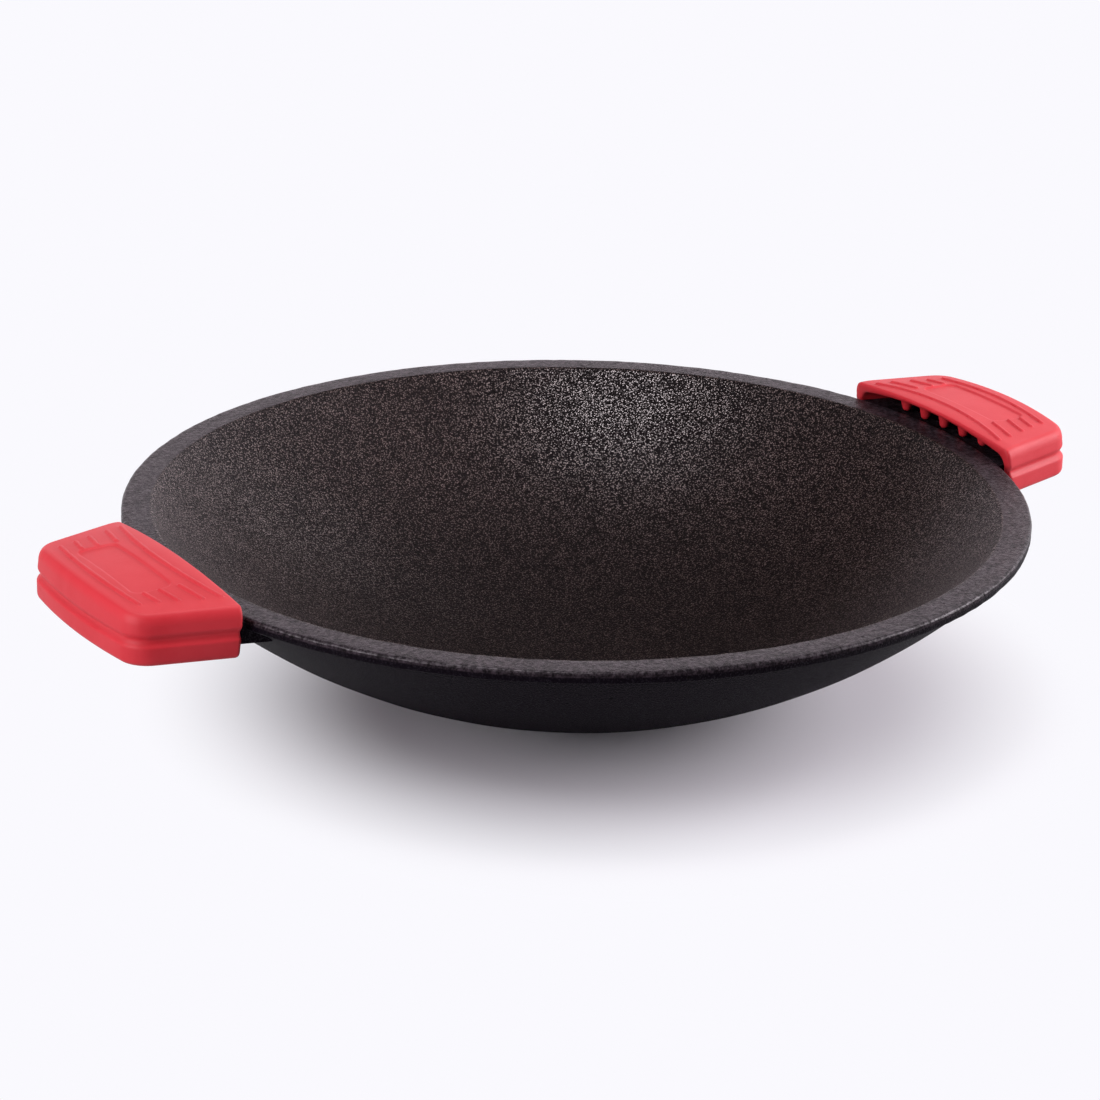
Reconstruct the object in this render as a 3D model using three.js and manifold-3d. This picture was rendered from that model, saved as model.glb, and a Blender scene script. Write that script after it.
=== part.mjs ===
// Shallow round cast-iron pan with two slotted lugs, each covered by a moulded silicone grip.
// Millimetres, +Z up. The origin is the centre of the flat base, and the lugs lie along +X and -X.
import * as THREE from "three";
import { mergeVertices } from "three/addons/utils/BufferGeometryUtils.js";
import Module from "manifold-3d";

const wasm = await Module();
wasm.setup();

// Bowl and rim of the casting
const PAN_HEIGHT = 57; // base to the rim's top face
const RIM_RADIUS = 135; // outside of the rim
const RIM_WIDTH = 9; // across the rim's top face
const RIM_BAND = 3.6; // height of the rim's upright outer face
const RIM_OVERHANG = 3; // rim beyond the wall just below it
const RIM_STEP = 1.2; // drop from the rim to the bowl's inner curve
const RIM_ROUND = 1; // rounding of the rim's edges
const BASE_RADIUS = 30; // flat that the pan stands on
const FLOOR_THICKNESS = 4.5; // at the bowl's centre

// Lugs, cast in one with the rim
const LUG_REACH = 25.6; // rim to the lug's tip
const LUG_WIDTH = 71; // measured at the rim's radius
const LUG_TAPER = THREE.MathUtils.degToRad(15); // slant of each end edge towards the tip
const LUG_TIP_RADIUS = 196; // bow of the tip in plan
const LUG_CORNER = 5.3; // plan radius between the tip and an end edge
const LUG_DROP = 1.2; // lug's top face below the rim's
const LUG_THICKNESS = 6.3;
const LUG_ROUND = 1.2; // bevel of the lug's edges
const LUG_WEB = 6; // metal between the rim and the slot
const SLOT_WIDTH = 9;
const SLOT_LENGTH = 46;

// Silicone grips
const SEAT_GAP = 0.3; // between the lug and the nubs and floor that bear on it
const POCKET_GAP = 0.8; // between the lug's edges and the pocket's walls
const GRIP_WALL = 3.4; // sides
const GRIP_ROOF = 2; // top panel at its middle
const GRIP_FLOOR = 2.4; // bottom panel
const POCKET_RISE = 2.8; // ceiling above the lug at the pocket's ends
const POCKET_ARCH = 3.4; // rise of the ceiling's middle over its ends
const GRIP_CROWN = 2.5; // rise of the top's middle over its ends
const GRIP_SLOPE = THREE.MathUtils.degToRad(1.7); // fall of the top and the ceiling towards the tip
const GRIP_TOP_ROUND = 4; // height of the rounded shoulder
const GRIP_SHOULDER = 2.4; // width of the rounded shoulder in plan
const GRIP_FOOT_ROUND = 1.8;
const GRIP_DRAFT = 0.2; // lean of the upper side wall
const POCKET_ROUND = 1.5;
const LIP_HEIGHT = 5.5; // lower part of the side, up to the groove
const GROOVE_WIDTH = 3.6;
const GROOVE_DEPTH = 1.1;
const LIP_PROUD = 0.4; // lip beyond the upper side wall
const MOUTH_OVERHANG = 3.5; // mouth's upper edge over the rim
const MOUTH_RAKE = THREE.MathUtils.degToRad(7); // lean of the mouth, its lower edge further out
const NUB_RADIUS = 2.2;
const NUB_TIP_RADIUS = 1.6;
const NUB_PITCH = 9.8;
const NUB_INSET = 2.8; // first row of nubs, outward from the rim
const MOUTH_NUBS = 5;
const TIP_NUBS = 4;

// Raised beads and the sunk panel on each grip's top
const BEAD_RADIUS = 0.9;
const BEAD_RISE = 0.55;
const MOUTH_BEAD_LENGTH = 63;
const TIP_BEAD_LENGTH = 50.4;
const MOUTH_BEAD_INSET = 6.6; // behind the mouth's edge
const TIP_BEAD_INSET = 2.3; // short of the lug's tip
const DASH_TILT = THREE.MathUtils.degToRad(10);
const DASH_START = 19.9; // from the grip's middle
const DASHES = [
  { place: 0.163, length: 10.6 }, // place from the mouth's bead, 0, to the tip's, 1
  { place: 0.459, length: 8.6 },
  { place: 0.697, length: 6.6 },
];
const PANEL_LENGTH = 37.6;
const PANEL_WIDTH = 12.2;
const PANEL_CORNER = 3;
const PANEL_DEPTH = 0.5;
const PANEL_MARGIN = 3.5; // panel to the middle of the tip's bead

// Smoothness
const TURN_STEPS = 72;
const CURVE_STEPS = 10;

// Worked out from the sizes above
const LUG_TOP = PAN_HEIGHT - LUG_DROP;
const LUG_BOTTOM = LUG_TOP - LUG_THICKNESS;
const LUG_TIP = RIM_RADIUS + LUG_REACH;
const LUG_ROOT = RIM_RADIUS - 2 * RIM_WIDTH; // inside the wall, where the lug starts
const SLOT_X = RIM_RADIUS + LUG_WEB + SLOT_WIDTH / 2;
const GRIP_OFFSET = POCKET_GAP + GRIP_WALL; // from the lug's outline to the grip's
const GRIP_BOTTOM = LUG_BOTTOM - SEAT_GAP - GRIP_FLOOR;
const GRIP_HALF_WIDTH = LUG_WIDTH / 2 + GRIP_OFFSET / Math.cos(LUG_TAPER);
const POCKET_HALF_WIDTH = LUG_WIDTH / 2 + POCKET_GAP / Math.cos(LUG_TAPER);
const MOUTH_X = RIM_RADIUS - MOUTH_OVERHANG;
const MOUTH_BEAD_X = MOUTH_X + MOUTH_BEAD_INSET;
const TIP_BEAD_X = LUG_TIP - TIP_BEAD_INSET;

const IRON = { color: 0x35302f, roughness: 0.62, metalness: 0.45 };
const SILICONE = { color: 0xc4222e, roughness: 0.5, metalness: 0 };

/** Solid for cutting and joining, from a closed geometry. */
function toSolid(geometry) {
  const bare = new THREE.BufferGeometry();
  bare.setAttribute("position", geometry.getAttribute("position"));
  bare.setIndex(geometry.getIndex());
  const merged = mergeVertices(bare, 1e-4);
  const vertProperties = new Float32Array(merged.getAttribute("position").array);
  const index = merged.getIndex().array;
  const triVerts = [];
  for (let i = 0; i < index.length; i += 3) {
    const [a, b, c] = index.slice(i, i + 3);
    if (a !== b && b !== c && c !== a) {
      triVerts.push(a, b, c);
    }
  }
  return new wasm.Manifold(
    new wasm.Mesh({ numProp: 3, vertProperties, triVerts: new Uint32Array(triVerts) }),
  );
}

/** Geometry of a finished solid. */
function toGeometry(solid) {
  const { vertProperties, triVerts } = solid.getMesh();
  const geometry = new THREE.BufferGeometry();
  geometry.setAttribute("position", new THREE.BufferAttribute(vertProperties, 3));
  geometry.setIndex(new THREE.BufferAttribute(triVerts, 1));
  geometry.computeVertexNormals();
  return geometry;
}

function join(solids) {
  return solids.reduce((whole, solid) => whole.add(solid));
}

/** Evenly spaced points on an arc about (x, y). */
function arc(x, y, radius, from, to, steps) {
  const point = (angle) =>
    new THREE.Vector2(x + radius * Math.cos(angle), y + radius * Math.sin(angle));
  return Array.from({ length: steps + 1 }, (_, k) => point(from + ((to - from) * k) / steps));
}

/** Arc centred on the axis that rises from one profile point to another. */
function bowlArc(low, high) {
  const rise = high.y - low.y;
  const centre = low.y + (high.x ** 2 - low.x ** 2 + rise ** 2) / (2 * rise);
  const radius = Math.hypot(low.x, centre - low.y);
  const from = Math.atan2(low.y - centre, low.x);
  const to = Math.atan2(high.y - centre, high.x);
  return arc(0, centre, radius, from, to, CURVE_STEPS);
}

/** Solid of revolution about +Z; the profile runs from the axis outward, up and back to the axis. */
function turned(profile) {
  return toSolid(new THREE.LatheGeometry(profile, TURN_STEPS).rotateX(Math.PI / 2));
}

/** The pan's outside, filled up to the rim's top face. */
function bowlOutside() {
  const bandFoot = PAN_HEIGHT - RIM_BAND;
  const side = RIM_RADIUS - RIM_ROUND;
  return turned([
    new THREE.Vector2(0, 0),
    ...bowlArc(new THREE.Vector2(BASE_RADIUS, 0), new THREE.Vector2(RIM_RADIUS - RIM_OVERHANG, bandFoot)),
    ...arc(side, bandFoot + RIM_ROUND, RIM_ROUND, -Math.PI / 2, 0, 2),
    ...arc(side, PAN_HEIGHT - RIM_ROUND, RIM_ROUND, 0, Math.PI / 2, 3),
    new THREE.Vector2(0, PAN_HEIGHT),
  ]);
}

/** The bowl's hollow, from its floor through the step at the rim to clear above it. */
function bowlInside() {
  const edge = RIM_RADIUS - RIM_WIDTH;
  return turned([
    ...bowlArc(new THREE.Vector2(0, FLOOR_THICKNESS), new THREE.Vector2(edge, PAN_HEIGHT - RIM_STEP)),
    ...arc(edge + RIM_ROUND, PAN_HEIGHT - RIM_ROUND, RIM_ROUND, Math.PI, Math.PI / 2, 2),
    new THREE.Vector2(edge + RIM_ROUND, PAN_HEIGHT + RIM_STEP),
    new THREE.Vector2(0, PAN_HEIGHT + RIM_STEP),
  ]);
}

/** Plan outline of a lug grown by an offset, from its -Y end round the tip to its +Y end. */
function lugOutline(offset) {
  const along = new THREE.Vector2(Math.cos(LUG_TAPER), -Math.sin(LUG_TAPER));
  const outward = new THREE.Vector2(Math.sin(LUG_TAPER), Math.cos(LUG_TAPER));
  const bowX = LUG_TIP - LUG_TIP_RADIUS;
  // The corner's arc touches the end edge and the bowed tip.
  const start = new THREE.Vector2(RIM_RADIUS - bowX, LUG_WIDTH / 2).addScaledVector(outward, -LUG_CORNER);
  const back = start.dot(along);
  const reach = LUG_TIP_RADIUS - LUG_CORNER;
  const corner = start.addScaledVector(along, Math.sqrt(back ** 2 - start.lengthSq() + reach ** 2) - back);
  const turn = corner.angle();
  const half = [
    ...arc(bowX, 0, LUG_TIP_RADIUS + offset, 0, turn, 3),
    ...arc(bowX + corner.x, corner.y, LUG_CORNER + offset, turn, outward.angle(), 5).slice(1),
    new THREE.Vector2(
      LUG_ROOT,
      LUG_WIDTH / 2 + offset / Math.cos(LUG_TAPER) + (RIM_RADIUS - LUG_ROOT) * Math.tan(LUG_TAPER),
    ),
  ];
  const mirrored = half.slice(1).map((point) => new THREE.Vector2(point.x, -point.y));
  return [...mirrored.reverse(), ...half];
}

/** Flat lug with bevelled edges and a slot along its middle, turned about the pan's axis. */
function lug(turn) {
  const shape = new THREE.Shape(lugOutline(0));
  const slot = new THREE.Path();
  const halfSlot = SLOT_LENGTH / 2 - SLOT_WIDTH / 2;
  slot.absarc(SLOT_X, halfSlot, SLOT_WIDTH / 2, 0, Math.PI);
  slot.absarc(SLOT_X, -halfSlot, SLOT_WIDTH / 2, Math.PI, 2 * Math.PI);
  shape.holes.push(slot);
  const plate = new THREE.ExtrudeGeometry(shape, {
    depth: LUG_THICKNESS - 2 * LUG_ROUND,
    bevelThickness: LUG_ROUND,
    bevelSize: LUG_ROUND,
    bevelOffset: -LUG_ROUND,
    bevelSegments: 2,
    curveSegments: 6,
  });
  return toSolid(plate.translate(0, 0, LUG_BOTTOM + LUG_ROUND).rotateZ(turn));
}

/** One casting: bowl, rim and both lugs. */
function casting() {
  return join([bowlOutside(), lug(0), lug(Math.PI)]).subtract(bowlInside());
}

/** Height of the pocket's arched ceiling over a place in plan. */
function ceiling(x, y) {
  const arch = POCKET_ARCH * (1 - (y / POCKET_HALF_WIDTH) ** 2);
  return LUG_TOP + POCKET_RISE + arch - (x - MOUTH_X) * Math.tan(GRIP_SLOPE);
}

/** Height of the grip's crowned top over a place in plan. */
function crownedTop(x, y) {
  return ceiling(x, 0) + GRIP_ROOF - GRIP_CROWN * (y / GRIP_HALF_WIDTH) ** 2;
}

/** Closed solid through a stack of rings; each ring has a front and, point for point, a back. */
function lofted(rows) {
  const positions = [];
  const index = [];
  const count = rows[0].front.length;
  const size = 2 * count;
  for (const { front, backX, height } of rows) {
    const back = front.map((point) => new THREE.Vector2(backX(point), point.y)).reverse();
    for (const point of [...front, ...back]) {
      positions.push(point.x, point.y, height(point.x, point.y));
    }
  }
  for (let row = 0; row + 1 < rows.length; row += 1) {
    for (let k = 0; k < size; k += 1) {
      const a = row * size + k;
      const b = row * size + ((k + 1) % size);
      index.push(a, b, b + size, a, b + size, a + size);
    }
  }
  const last = (rows.length - 1) * size;
  for (let k = 0; k + 1 < count; k += 1) {
    const [a, b, c, d] = [k, k + 1, size - 2 - k, size - 1 - k];
    index.push(a, c, b, a, d, c);
    index.push(last + a, last + b, last + c, last + a, last + c, last + d);
  }
  const geometry = new THREE.BufferGeometry();
  geometry.setAttribute("position", new THREE.Float32BufferAttribute(positions, 3));
  geometry.setIndex(index);
  return toSolid(geometry);
}

/** Stack of handle outlines: each row is how far it lies inside an offset outline, and its height. */
function stacked(offset, rows) {
  const backX = () => LUG_ROOT - RIM_ROUND;
  return lofted(rows.map(([inset, height]) => ({ front: lugOutline(offset - inset), backX, height })));
}

/** Rows of a quarter round, or oval, that turns a side wall into a top or bottom face. */
function roundRows(inset, width, radius, face, sign, steps) {
  return arc(0, 0, 1, 0, Math.PI / 2, steps).map((turn) => [
    inset + width * (1 - turn.x),
    (x, y) => face(x, y) + sign * radius * (1 - turn.y),
  ]);
}

/** The grip's outer form: foot, lip, groove, leaning side and crowned top. */
function gripBody() {
  const lipTop = GRIP_BOTTOM + LIP_HEIGHT;
  const foot = roundRows(0, GRIP_FOOT_ROUND, GRIP_FOOT_ROUND, () => GRIP_BOTTOM, 1, 3).reverse();
  const shoulder = roundRows(LIP_PROUD + GRIP_DRAFT, GRIP_SHOULDER, GRIP_TOP_ROUND, crownedTop, -1, 4);
  return stacked(GRIP_OFFSET, [
    ...foot,
    [0, () => lipTop],
    [GROOVE_DEPTH, () => lipTop + 0.6 * GROOVE_WIDTH],
    [LIP_PROUD, () => lipTop + GROOVE_WIDTH],
    ...shoulder,
  ]);
}

/** The pocket that slips over the lug. */
function gripPocket() {
  const floor = () => LUG_BOTTOM - SEAT_GAP;
  return stacked(POCKET_GAP, [
    [0, floor],
    ...roundRows(0, POCKET_ROUND, POCKET_ROUND, ceiling, -1, 2),
  ]);
}

/** What is cut away on the pan's side, leaving a mouth that leans over the rim. */
function mouthCut() {
  const innerX = LUG_ROOT - RIM_WIDTH;
  const upper = ceiling(MOUTH_X, 0);
  const leanX = (z) => MOUTH_X + (upper - z) * Math.tan(MOUTH_RAKE);
  const shape = new THREE.Shape([
    new THREE.Vector2(innerX, 0),
    new THREE.Vector2(leanX(0), 0),
    new THREE.Vector2(leanX(2 * PAN_HEIGHT), 2 * PAN_HEIGHT),
    new THREE.Vector2(innerX, 2 * PAN_HEIGHT),
  ]);
  const depth = 4 * GRIP_HALF_WIDTH;
  const block = new THREE.ExtrudeGeometry(shape, { depth, bevelEnabled: false });
  return toSolid(block.rotateX(Math.PI / 2).translate(0, depth / 2, 0));
}

/** Round-tipped nub that hangs from the ceiling and bears on the lug. */
function nub(x, y) {
  const tip = LUG_TOP + SEAT_GAP;
  const root = (ceiling(x, y) + crownedTop(x, y)) / 2;
  const profile = [
    ...arc(0, tip + NUB_TIP_RADIUS, NUB_TIP_RADIUS, -Math.PI / 2, 0, 3),
    new THREE.Vector2(NUB_RADIUS, root),
    new THREE.Vector2(0, root),
  ];
  profile[0].x = 0;
  const pin = new THREE.LatheGeometry(profile, 10).rotateX(Math.PI / 2);
  return toSolid(pin.translate(x, y, 0));
}

/** A row of nubs, evenly spaced about the grip's middle. */
function nubRow(x, count) {
  return Array.from({ length: count }, (_, k) => nub(x, (k - (count - 1) / 2) * NUB_PITCH));
}

/** Raised bead on the crowned top, through places given in plan. */
function bead(places) {
  const sunk = BEAD_RADIUS - BEAD_RISE;
  const points = places.map(({ x, y }) => new THREE.Vector3(x, y, crownedTop(x, y) - sunk));
  const section = new THREE.Shape(arc(0, 0, BEAD_RADIUS, 0, 2 * Math.PI, 10).slice(1));
  const extrudePath = new THREE.CatmullRomCurve3(points);
  return toSolid(new THREE.ExtrudeGeometry(section, { steps: places.length - 1, extrudePath }));
}

/** Bead on a circle about the pan's axis. */
function ringBead(radius, length) {
  const half = Math.asin(length / 2 / radius);
  return bead(arc(0, 0, radius, -half, half, 8));
}

/** Beads along the mouth and the tip, and a fan of short dashes at each end. */
function beads() {
  const dashes = DASHES.flatMap(({ place, length }) => {
    const startX = THREE.MathUtils.lerp(MOUTH_BEAD_X, TIP_BEAD_X, place);
    return [-1, 1].map((side) => {
      const start = new THREE.Vector2(startX, side * DASH_START);
      const run = new THREE.Vector2(-Math.sin(DASH_TILT), side * Math.cos(DASH_TILT));
      return bead([0, 0.5, 1].map((share) => start.clone().addScaledVector(run, share * length)));
    });
  });
  return [ringBead(MOUTH_BEAD_X, MOUTH_BEAD_LENGTH), ringBead(TIP_BEAD_X, TIP_BEAD_LENGTH), ...dashes];
}

/** Cut for the sunk panel in the middle of the top, its floor parallel to the crown. */
function panelCut() {
  const outerX = TIP_BEAD_X - PANEL_MARGIN;
  const middleX = outerX - PANEL_WIDTH / 2;
  const straight = PANEL_WIDTH / 2 - PANEL_CORNER;
  const end = PANEL_LENGTH / 2 - PANEL_CORNER;
  const corner = arc(middleX + straight, end, PANEL_CORNER, 0, Math.PI / 2, 3);
  const half = [new THREE.Vector2(outerX, 0), new THREE.Vector2(outerX, end / 2), ...corner];
  const mirrored = half.slice(1).map((point) => new THREE.Vector2(point.x, -point.y));
  const front = [...mirrored.reverse(), ...half];
  const backX = (point) => 2 * middleX - point.x;
  return lofted([
    { front, backX, height: (x, y) => crownedTop(x, y) - PANEL_DEPTH },
    { front, backX, height: (x, y) => crownedTop(x, y) + BEAD_RADIUS },
  ]);
}

/** One moulding: shell, nubs, beads and sunk panel, as it sits on the +X lug. */
function grip() {
  const shell = gripBody().subtract(mouthCut()).subtract(gripPocket());
  const barX = (SLOT_X + SLOT_WIDTH / 2 + LUG_TIP) / 2;
  const nubs = [...nubRow(RIM_RADIUS + NUB_INSET, MOUTH_NUBS), ...nubRow(barX, TIP_NUBS)];
  return join([shell, ...nubs, ...beads()]).subtract(panelCut());
}

/** Named part with a finish of its own. */
function part(name, solid, finish) {
  const mesh = new THREE.Mesh(toGeometry(solid), new THREE.MeshStandardMaterial(finish));
  mesh.name = name;
  return mesh;
}

const pan = new THREE.Group();
pan.add(part("pan_casting", casting(), IRON));

const gripRight = part("grip_right", grip(), SILICONE);
pan.add(gripRight);

const gripLeft = part("grip_left", grip(), SILICONE);
gripLeft.rotation.z = Math.PI;
pan.add(gripLeft);

export default pan;
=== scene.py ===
"""Round cast-iron pan with two slotted lugs, each in a moulded silicone grip, in a plain studio."""

import logging
import math
from dataclasses import dataclass, field
from enum import Enum
from typing import Callable, Iterable, Sequence, Union

import bmesh
import bpy
from mathutils import Matrix, Vector, noise

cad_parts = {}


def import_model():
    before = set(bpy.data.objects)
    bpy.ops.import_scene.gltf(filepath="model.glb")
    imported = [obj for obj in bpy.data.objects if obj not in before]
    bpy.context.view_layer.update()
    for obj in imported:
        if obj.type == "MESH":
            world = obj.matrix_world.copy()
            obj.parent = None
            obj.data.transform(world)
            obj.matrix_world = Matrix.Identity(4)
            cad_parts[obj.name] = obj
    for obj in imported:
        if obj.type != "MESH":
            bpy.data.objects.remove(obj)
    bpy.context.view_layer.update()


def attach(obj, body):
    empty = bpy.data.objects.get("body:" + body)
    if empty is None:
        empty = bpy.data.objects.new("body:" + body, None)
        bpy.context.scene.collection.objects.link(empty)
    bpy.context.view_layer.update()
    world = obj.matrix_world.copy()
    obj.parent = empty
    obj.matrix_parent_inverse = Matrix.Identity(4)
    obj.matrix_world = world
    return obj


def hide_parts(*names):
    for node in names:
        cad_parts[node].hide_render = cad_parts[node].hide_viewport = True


LOG = logging.getLogger("pan")
MM = 0.001
WELD = 0.001  # millimetres within which vertices are one
UP = (0.0, 0.0, 1.0)

Tint = tuple[float, float, float]
Place = tuple[float, float, float]
Range = tuple[float, float]
Texture = tuple[float, float, float]  # cells per metre, octaves, weight of the finer ones
Height = Callable[[float, float], float]
Row = tuple[float, Height]
Value = Union["Field", float]


class Side(Enum):
    """The lug that a grip sits on, with its turn about the pan's axis."""

    RIGHT = 0.0
    LEFT = math.pi


def ramp(low: float, high: float, value: float) -> float:
    """Smooth step of a value, from 0 at low to 1 at high."""
    share = min(1.0, max(0.0, (value - low) / (high - low)))
    return share * share * (3 - 2 * share)


def arc(centre: Vector, radius: float, start: float, end: float, steps: int) -> list[Vector]:
    """Evenly spaced points on an arc in a plane.

    Args:
        centre: Middle of the arc, as a 2-D vector.
        radius: Radius of the arc.
        start: First angle in radians.
        end: Last angle in radians.
        steps: Number of equal steps between the two.

    Returns:
        The points from the first angle to the last, both included.
    """
    angles = [start + (end - start) * k / steps for k in range(steps + 1)]
    return [centre + radius * Vector((math.cos(a), math.sin(a))) for a in angles]


def chain(bm: bmesh.types.BMesh, points: Iterable[Vector], closed: bool = False) -> list[bmesh.types.BMEdge]:
    """Adds a line of vertices joined by edges.

    Args:
        bm: Mesh that takes the line.
        points: Places of the vertices, in order.
        closed: Whether the last vertex is joined to the first.

    Returns:
        The new edges, in order.
    """
    verts = [bm.verts.new(point) for point in points]
    pairs = list(zip(verts, verts[1:]))
    if closed:
        pairs.append((verts[-1], verts[0]))
    return [bm.edges.new(pair) for pair in pairs]


def turn_profile(bm: bmesh.types.BMesh, profile: Iterable[Vector], steps: int, centre: Vector) -> None:
    """Spins a profile of radius and height into a closed body about an upright axis.

    Args:
        bm: Mesh that takes the body.
        profile: Radius and height of each point, from the axis round to the axis again.
        steps: Number of steps in the full turn.
        centre: Foot of the axis.
    """
    edges = chain(bm, [centre + Vector((point.x, 0, point.y)) for point in profile])
    line = list(dict.fromkeys(vert for edge in edges for vert in edge.verts))
    bmesh.ops.spin(bm, geom=line + edges, cent=centre, axis=UP, angle=math.tau, steps=steps, use_merge=True)
    on_axis = [vert for vert in bm.verts if (vert.co - centre).xy.length < WELD]
    bmesh.ops.remove_doubles(bm, verts=on_axis, dist=WELD)


def to_object(bm: bmesh.types.BMesh, name: str, sharp: float) -> bpy.types.Object:
    """Finishes a mesh made in millimetres as an object at the origin, in metres.

    Args:
        bm: Finished mesh, which is freed.
        name: Name of the piece.
        sharp: Angle in radians above which an edge is shaded sharp.

    Returns:
        The linked object.
    """
    bmesh.ops.scale(bm, vec=Vector((MM, MM, MM)), verts=bm.verts)
    mesh = bpy.data.meshes.new(name)
    bm.to_mesh(mesh)
    bm.free()
    mesh.shade_smooth()
    mesh.set_sharp_from_angle(angle=sharp)
    piece = bpy.data.objects.new(name, mesh)
    bpy.context.collection.objects.link(piece)
    return piece


def unite(piece: bpy.types.Object, other: bpy.types.Object) -> bmesh.types.BMesh:
    """Joins another object to a piece as one closed body, and removes the other.

    Args:
        piece: Object that stays.
        other: Object that overlaps it.

    Returns:
        The joined body, in metres, for the piece to take.
    """
    union = piece.modifiers.new("union", "BOOLEAN")
    union.operation = "UNION"
    union.solver = "EXACT"
    union.object = other
    graph = bpy.context.evaluated_depsgraph_get()
    joined = bpy.data.meshes.new_from_object(piece.evaluated_get(graph))
    bpy.data.objects.remove(other)
    piece.modifiers.clear()
    bm = bmesh.new()
    bm.from_mesh(joined)
    bpy.data.meshes.remove(joined)
    bmesh.ops.remove_doubles(bm, verts=bm.verts, dist=WELD * MM)
    return bm


def take(piece: bpy.types.Object, bm: bmesh.types.BMesh, sharp: float) -> None:
    """Gives a piece a new body.

    Args:
        piece: Object that takes the body.
        bm: Body in metres, which is freed.
        sharp: Angle in radians above which an edge is shaded sharp.
    """
    bm.to_mesh(piece.data)
    bm.free()
    piece.data.materials.clear()
    piece.data.shade_smooth()
    piece.data.set_sharp_from_angle(angle=sharp)


class Field:
    """Socket of a node tree; arithmetic on it adds Math nodes."""

    def __init__(self, wiring: "Wiring", socket: bpy.types.NodeSocket) -> None:
        """Holds a socket and the tree that it belongs to."""
        self.wiring = wiring
        self.socket = socket

    def math(self, operation: str, *others: Value) -> "Field":
        """Result of a Math node, with its second and third values."""
        inputs = dict(enumerate((self, *others)))
        return self.wiring.node("ShaderNodeMath", {"operation": operation}, inputs)

    def __add__(self, other: Value) -> "Field":
        """Sum."""
        return self.math("ADD", other)

    def __sub__(self, other: Value) -> "Field":
        """Difference."""
        return self.math("SUBTRACT", other)

    def __rsub__(self, other: float) -> "Field":
        """Difference from a number."""
        return self.wiring.node("ShaderNodeMath", {"operation": "SUBTRACT"}, {0: other, 1: self})

    def __mul__(self, other: Value) -> "Field":
        """Product."""
        return self.math("MULTIPLY", other)

    __radd__ = __add__
    __rmul__ = __mul__

    def power(self, exponent: float) -> "Field":
        """Power with a fixed exponent."""
        return self.math("POWER", exponent)

    def step(self, low: float, high: float) -> "Field":
        """Smooth step from 0 at low to 1 at high."""
        inputs = {"Value": self, "From Min": low, "From Max": high}
        return self.wiring.node("ShaderNodeMapRange", {"interpolation_type": "SMOOTHSTEP"}, inputs)


class Wiring:
    """Adds nodes to one node tree."""

    def __init__(self, tree: bpy.types.NodeTree) -> None:
        """Starts an empty tree."""
        self.tree = tree
        tree.nodes.clear()

    def node(self, kind: str, settings: dict[str, object], inputs: dict, output: Union[int, str] = 0) -> Field:
        """Adds a node, sets it and links it.

        Args:
            kind: Type name of the node.
            settings: Properties, which are set first.
            inputs: Values or fields by socket name or number.
            output: Output to go on with.

        Returns:
            The chosen output, or the node's first input where it has no output.
        """
        made = self.tree.nodes.new(kind)
        for name, value in settings.items():
            setattr(made, name, value)
        for key, value in inputs.items():
            if isinstance(value, Field):
                self.tree.links.new(value.socket, made.inputs[key])
            else:
                made.inputs[key].default_value = value
        return Field(self, made.outputs[output] if made.outputs else made.inputs[0])

    def mix(self, share: Value, first: object, second: object) -> Field:
        """Colour between two colours.

        Args:
            share: 0 for the first, 1 for the second.
            first: Colour or field.
            second: Colour or field.

        Returns:
            The mixed colour.
        """
        share_in, first_in, second_in, colour_out = 0, 6, 7, 2  # sockets of a Mix node for colours
        inputs = {share_in: share, first_in: first, second_in: second}
        return self.node("ShaderNodeMix", {"data_type": "RGBA"}, inputs, colour_out)

    def noise(self, place: Field, scale: float, detail: float, roughness: float) -> Field:
        """Noise around 0.5 at a place, from a Texture's three values."""
        inputs = {"Vector": place, "Scale": scale, "Detail": detail, "Roughness": roughness}
        return self.node("ShaderNodeTexNoise", {}, inputs)

    def cells(self, place: Field, scale: float) -> Field:
        """Distance to the nearest cell's middle, in cells."""
        return self.node("ShaderNodeTexVoronoi", {"feature": "F1"}, {"Vector": place, "Scale": scale})

    def axis(self, vector: Field, name: str) -> Field:
        """One part of a vector: X, Y or Z."""
        return self.node("ShaderNodeSeparateXYZ", {}, {0: vector}, name)

    def bump(self, height: Field, distance: float, strength: float) -> Field:
        """Normal bent by a height from 0 to 1, where 1 stands for the distance in metres."""
        return self.node("ShaderNodeBump", {}, {"Strength": strength, "Distance": distance, "Height": height})


def colour(red: float, green: float, blue: float) -> tuple[float, float, float, float]:
    """Opaque colour from linear values."""
    return (red, green, blue, 1.0)


def blank_material(name: str) -> tuple[bpy.types.Material, Wiring, Field]:
    """Material with an empty node tree.

    Args:
        name: Name of the material.

    Returns:
        The material, its wiring, and Object coordinates.
    """
    material = bpy.data.materials.new(name)
    material.use_nodes = True
    w = Wiring(material.node_tree)
    return material, w, w.node("ShaderNodeTexCoord", {}, {}, "Object")


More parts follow.
